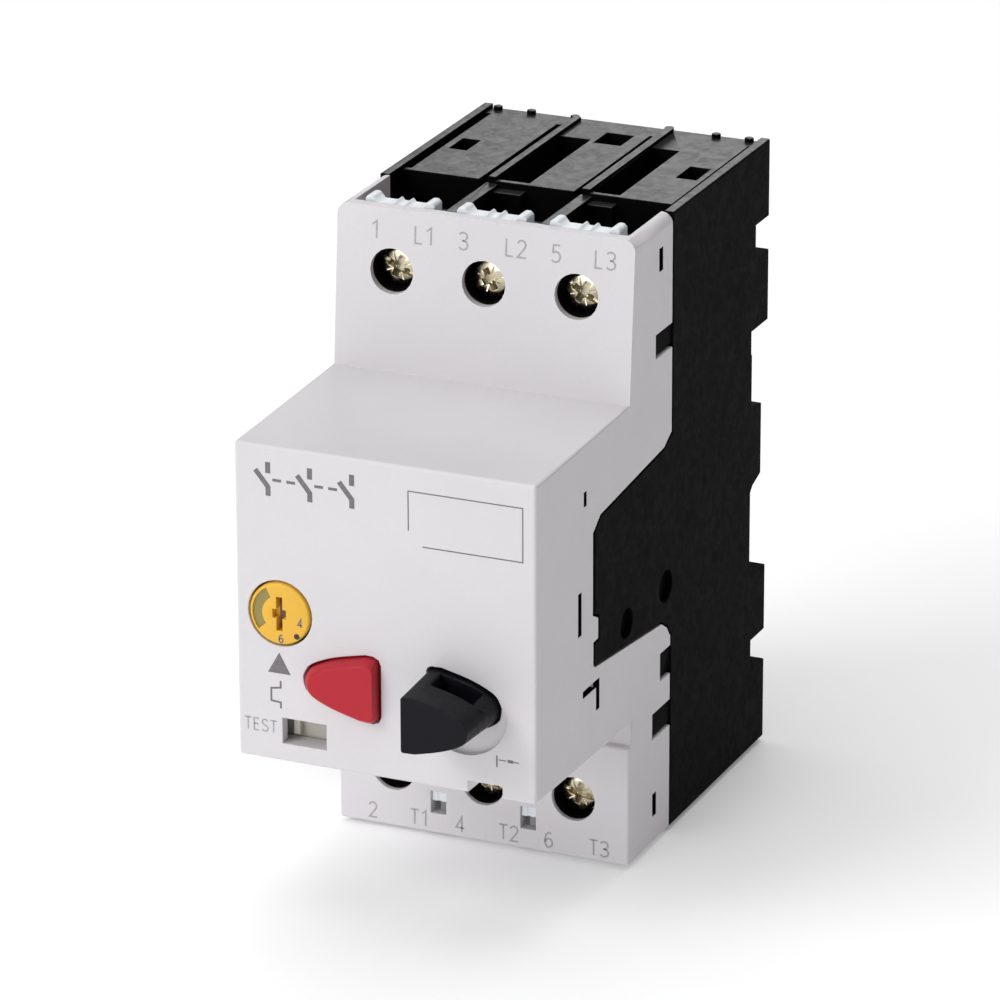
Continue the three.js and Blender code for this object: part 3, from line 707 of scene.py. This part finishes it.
# Strokes of each sign, one unit high.
SIGNS = {
    "1": [[(0.06, 0.78), (0.32, 1.0), (0.32, 0.0)]],
    "2": [
        [(0.04, 0.8), (0.14, 0.95), (0.3, 1.0), (0.46, 0.94), (0.54, 0.76), (0.46, 0.54), (0.04, 0.0), (0.56, 0.0)],
    ],
    "3": [
        [(0.04, 0.88), (0.16, 0.98), (0.34, 1.0), (0.5, 0.9), (0.52, 0.7), (0.4, 0.55), (0.22, 0.52)],
        [(0.22, 0.52), (0.44, 0.48), (0.56, 0.3), (0.5, 0.1), (0.32, 0.0), (0.14, 0.02), (0.03, 0.12)],
    ],
    "4": [[(0.42, 0.0), (0.42, 1.0), (0.03, 0.28), (0.58, 0.28)]],
    "5": [
        [(0.5, 1.0), (0.12, 1.0), (0.08, 0.56), (0.28, 0.62), (0.46, 0.55), (0.55, 0.34), (0.47, 0.1), (0.28, 0.0)],
        [(0.28, 0.0), (0.12, 0.03), (0.03, 0.12)],
    ],
    "6": [
        [(0.48, 0.94), (0.3, 0.99), (0.13, 0.82), (0.05, 0.5), (0.07, 0.2), (0.2, 0.02), (0.38, 0.01), (0.53, 0.16)],
        [(0.53, 0.16), (0.55, 0.36), (0.46, 0.53), (0.3, 0.58), (0.14, 0.5), (0.06, 0.36)],
    ],
    "L": [[(0.08, 1.0), (0.08, 0.0), (0.5, 0.0)]],
    "T": [[(0.02, 1.0), (0.58, 1.0)], [(0.3, 1.0), (0.3, 0.0)]],
    "E": [[(0.5, 1.0), (0.08, 1.0), (0.08, 0.0), (0.5, 0.0)], [(0.08, 0.53), (0.44, 0.53)]],
    "S": [
        [(0.52, 0.88), (0.36, 1.0), (0.18, 0.98), (0.06, 0.84), (0.08, 0.66), (0.26, 0.54), (0.44, 0.44)],
        [(0.44, 0.44), (0.55, 0.3), (0.52, 0.12), (0.38, 0.01), (0.2, 0.0), (0.04, 0.12)],
    ],
}
# From one sign to the next, and the gap in it, both in sign heights.
SPACING, GAP = 0.74, 0.16


def written(words, x, z, height):
    """Strokes of the words, their middle at x and their feet at z."""
    start = x - height * (SPACING * len(words) - GAP) / 2
    return [
        [(start + height * (SPACING * k + a), z + height * b) for a, b in stroke]
        for k, sign in enumerate(words)
        for stroke in SIGNS[sign]
    ]


def ribbon(shape, points, width, to_frame, closed=False):
    """Adds a flat line of one width, with mitred bends, to a bmesh."""
    count = len(points)
    sides = []
    for k, point in enumerate(points):
        before = points[k - 1] if closed or k > 0 else None
        after = points[(k + 1) % count] if closed or k < count - 1 else None
        into = (Vector(point) - Vector(before)).normalized() if before else None
        out = (Vector(after) - Vector(point)).normalized() if after else None
        into, out = into or out, out or into
        normal = Vector((-(into.y + out.y), into.x + out.x))
        reach = width / (1 + into.dot(out)) / 2
        sides.append([to_frame(*(Vector(point) + normal * reach * s)) for s in (1, -1)])
    rows = [[shape.verts.new(spot) for spot in pair] for pair in sides]
    for k in range(count if closed else count - 1):
        a, b = rows[k], rows[(k + 1) % count]
        shape.faces.new([a[0], b[0], b[1], a[1]])


def filled(shape, outline, to_frame):
    """Adds a flat face to a bmesh."""
    shape.faces.new([shape.verts.new(to_frame(*point)) for point in outline])


# How thick the ink is, and how much of it stands proud of the plastic, in millimetres.
FILM, PROUD = 0.05, 0.03


def printed(name, shape, material, body="housing"):
    """A film of ink from the flat faces in the bmesh, thickened towards the rear."""
    made = bmesh.ops.extrude_face_region(shape, geom=list(shape.faces))
    moved = [v for v in made["geom"] if isinstance(v, bmesh.types.BMVert)]
    bmesh.ops.translate(shape, verts=moved, vec=Vector((0, FILM * MM, 0)))
    bmesh.ops.recalc_face_normals(shape, faces=shape.faces)
    mesh = bpy.data.meshes.new(name)
    shape.to_mesh(mesh)
    shape.free()
    return piece(name, mesh, material, body)


def on_nose(x, z):
    return at(x, NOSE_FRONT - PROUD, z)


def on_upper_face(x, z):
    return at(x, UPPER_FACE + (z - UPPER_FOOT) * LEAN / UPPER_HEIGHT - PROUD, z)


def on_lower_face(x, z):
    return at(x, LOWER_FACE - PROUD, z)


def rows_of(signs, z, height, width, to_frame, name):
    shape = bmesh.new()
    for words, x in signs:
        for stroke in written(words, x, z, height):
            ribbon(shape, stroke, width, to_frame)
    printed(name, shape, PALE_INK)


# Each word with its middle's x; then the feet's z, the height and the stroke's width.
rows_of(
    [("1", -16.5), ("L1", -9.1), ("3", -3.2), ("L2", 4.7), ("5", 10.8), ("L3", 18.1)],
    88.5, 2.45, 0.24, on_upper_face, "upper_terminal_numbers",
)
rows_of(
    [("2", -17.3), ("T1", -9.9), ("4", -3.6), ("T2", 4.0), ("6", 10.2), ("T3", 18.0)],
    0.9, 2.3, 0.25, on_lower_face, "lower_terminal_numbers",
)
rows_of([("TEST", -19.1)], 26.7, 1.75, 0.2, on_nose, "test_word")

# A generic three-pole switch sign with a link across its blades, and the arrowhead below the dial.
shape = bmesh.new()
for x in (-17.4, -11.1, -4.8):
    ribbon(shape, [(x, 61.7), (x, 63.0), (x - 1.9, 65.3)], 0.75, on_nose)
    ribbon(shape, [(x, 65.0), (x, 66.6)], 0.75, on_nose)
for x in (-16.7, -14.6, -10.4, -8.3):
    ribbon(shape, [(x, 64.1), (x + 1.3, 64.1)], 0.4, on_nose)
filled(shape, [(-16.1, 38.8), (-17.85, 35.7), (-14.4, 35.7)], on_nose)
printed("front_signs", shape, DARK_INK)

# The overload sign, the on sign by the start button, and the frame of the label field.
shape = bmesh.new()
trip_sign = [(-15.95, 34.6), (-15.95, 33.6), (-17.4, 33.35), (-17.4, 31.5), (-15.95, 31.4), (-15.95, 30.5)]
ribbon(shape, trip_sign, 0.26, on_nose)
ribbon(shape, [(16.6, 27.2), (16.6, 28.9)], 0.2, on_nose)
ribbon(shape, [(16.9, 28.3), (18.0, 28.3)], 0.14, on_nose)
ribbon(shape, [(18.2, 28.3), (19.0, 28.3)], 0.45, on_nose)
ribbon(shape, [(19.0, 28.3), (19.9, 28.3)], 0.14, on_nose)
ribbon(shape, [(3.6, 59.8), (3.6, 65.5), (20.5, 65.5), (20.5, 57.7), (5.7, 57.7)], 0.16, on_nose)
printed("thin_signs", shape, DARK_INK)


def on_dial(x, z):
    return DIAL + Vector((x * MM, -0.02 * MM, z * MM))


shape = bmesh.new()
for words, x, z in (("4", 3.1, -1.5), ("6", 0.2, -4.2)):
    for stroke in written(words, x, z, 1.15):
        ribbon(shape, stroke, 0.2, on_dial)
printed("dial_numbers", shape, DARK_INK, "current_dial")
shape = bmesh.new()
filled(shape, [(2.6 + x, -2.95 + z) for x, z in sector(0.0, 0.42, 0, 345, 23)[:24]], on_dial)
printed("dial_dot", shape, BLACK_INK, "current_dial")


# ---------- springs ----------

# Turns at each end of a spring that lie on each other.
CLOSED = 0.9


def coil(node, axis, wire, turns=6.5):
    """A round wire spring with closed ends, in its CAD node's box.
    """
    low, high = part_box(node)
    centre = (low + high) / 2
    length = (high - low)[axis] - 2 * wire * MM
    cross = [k for k in range(3) if k != axis]
    radius = (high - low)[cross[0]] / 2 - wire * MM
    steps = 220
    curve = bpy.data.curves.new(node, "CURVE")
    curve.dimensions = "3D"
    curve.bevel_depth = wire * MM
    curve.bevel_resolution = 3
    curve.use_fill_caps = True
    spline = curve.splines.new("POLY")
    spline.points.add(steps)
    for k, point in enumerate(spline.points):
        turn = turns * k / steps
        lift = min(1.0, max(0.0, (turn - CLOSED) / (turns - 2 * CLOSED)))
        stacked = 2 * wire * MM * (min(turn, CLOSED) + max(turn - turns + CLOSED, 0.0))
        along = stacked + lift * (length - 4 * CLOSED * wire * MM)
        spot = Vector((0, 0, 0))
        spot[axis] = along - length / 2
        spot[cross[0]] = radius * math.cos(2 * math.pi * turn)
        spot[cross[1]] = radius * math.sin(2 * math.pi * turn)
        point.co = (*(centre + spot), 1)
    loose = bpy.data.objects.new(node + "_curve", curve)
    bpy.context.scene.collection.objects.link(loose)
    bpy.context.view_layer.update()
    graph = bpy.context.evaluated_depsgraph_get()
    mesh = bpy.data.meshes.new_from_object(loose.evaluated_get(graph))
    bpy.data.objects.remove(loose)
    body = frame["nodes"][node]["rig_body"]
    made = piece(node + "_wire", mesh, SPRING_WIRE, body)
    made.data.polygons.foreach_set("use_smooth", [True] * len(made.data.polygons))
    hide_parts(node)
    direction = Vector((0, 0, 0))
    direction[axis] = 1
    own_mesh(made)


coil("start_spring", 1, 0.4)
coil("stop_spring", 1, 0.35)
coil("latch_spring", 2, 0.25)


# ---------- pieces inside ----------

INSIDE = {
    "line_conductor": COPPER,
    "load_conductor": COPPER,
    "trip_coil": COPPER,
    "contact_bridge": SILVERED,
    "arc_chute": ZINC,
    "trip_plunger": ZINC,
    "bimetal_strip": STRIP,
}
for kind, material in INSIDE.items():
    for pole in POLES:
        dress(f"{kind}_{pole}", material)
dress("mechanism_frame", GREY_RESIN)
dress("trip_bar", GREY_RESIN)
dress("contact_carrier", BROWN_RESIN)
dress("toggle_lever", ZINC)
dress("lever_pin", ZINC)


# ---------- studio ----------

scene = bpy.context.scene
scene.view_settings.view_transform = "Standard"

bpy.ops.mesh.primitive_plane_add(size=6)
floor = bpy.context.object
floor.name = "floor"
g = Graph("floor_paper")
clouds = g.remap(g.noise(0.004, 2.0), (0.3, 0.7), (0.0, 1.0))
tint = g.mixed(clouds, (0.93, 0.93, 0.93, 1), (0.96, 0.96, 0.96, 1))
g.feed(g.shader.inputs["Base Color"], tint)
g.shader.inputs["Roughness"].default_value = 0.9
g.feed(g.shader.inputs["Emission Color"], tint)
g.shader.inputs["Emission Strength"].default_value = 0.18
floor.data.materials.append(g.material)

world = bpy.data.worlds.new("studio")
scene.world = world
world.use_nodes = True
background = world.node_tree.nodes["Background"]
background.inputs["Color"].default_value = (1, 1, 1, 1)
background.inputs["Strength"].default_value = 0.16


def softbox(name, spot, size, power):
    """A soft lamp that faces the breaker, in metres and watts."""
    data = bpy.data.lights.new(name, "AREA")
    data.shape = "RECTANGLE"
    data.size, data.size_y = size
    data.energy = power
    made = bpy.data.objects.new(name, data)
    made.location = spot
    made.rotation_mode = "QUATERNION"
    made.rotation_quaternion = (Vector(spot) - Vector((0, 0, 0.05))).to_track_quat("Z", "Y")
    scene.collection.objects.link(made)


softbox("key", (-0.75, -0.95, 0.95), (0.7, 0.7), 8.5)
softbox("front", (-0.35, -1.4, 0.3), (0.9, 0.5), 5.5)
softbox("overhead", (-0.1, 0.1, 1.3), (1.4, 1.4), 10.5)
softbox("back", (-0.1, 1.5, 0.75), (1.3, 0.5), 5)


def photo_camera(azimuth, elevation, roll, distance, lens, target, across, upwards):
    """A camera that looks at a point from an angle, moved across its own view. Degrees and millimetres."""
    a, e, r = (math.radians(v) for v in (azimuth, elevation, roll))
    back = Vector((math.sin(a) * math.cos(e), -math.cos(a) * math.cos(e), math.sin(e)))
    level = Vector((math.cos(a), math.sin(a), 0))
    upright = back.cross(level)
    right = level * math.cos(r) + upright * math.sin(r)
    up = upright * math.cos(r) - level * math.sin(r)
    data = bpy.data.cameras.new("camera")
    data.sensor_width = 36
    data.lens = lens
    data.clip_start = 0.05
    camera = bpy.data.objects.new("camera", data)
    spot = target + (back * distance + right * across + up * upwards) * MM
    turn = Matrix((right, up, back)).transposed().to_4x4()
    camera.matrix_world = Matrix.Translation(spot) @ turn
    scene.collection.objects.link(camera)
    scene.camera = camera


photo_camera(
    azimuth=23.71, elevation=20.75, roll=-0.17, distance=928.3, lens=233.8,
    target=at(0, -35, MIDDLE), across=-4.38, upwards=-0.22,
)
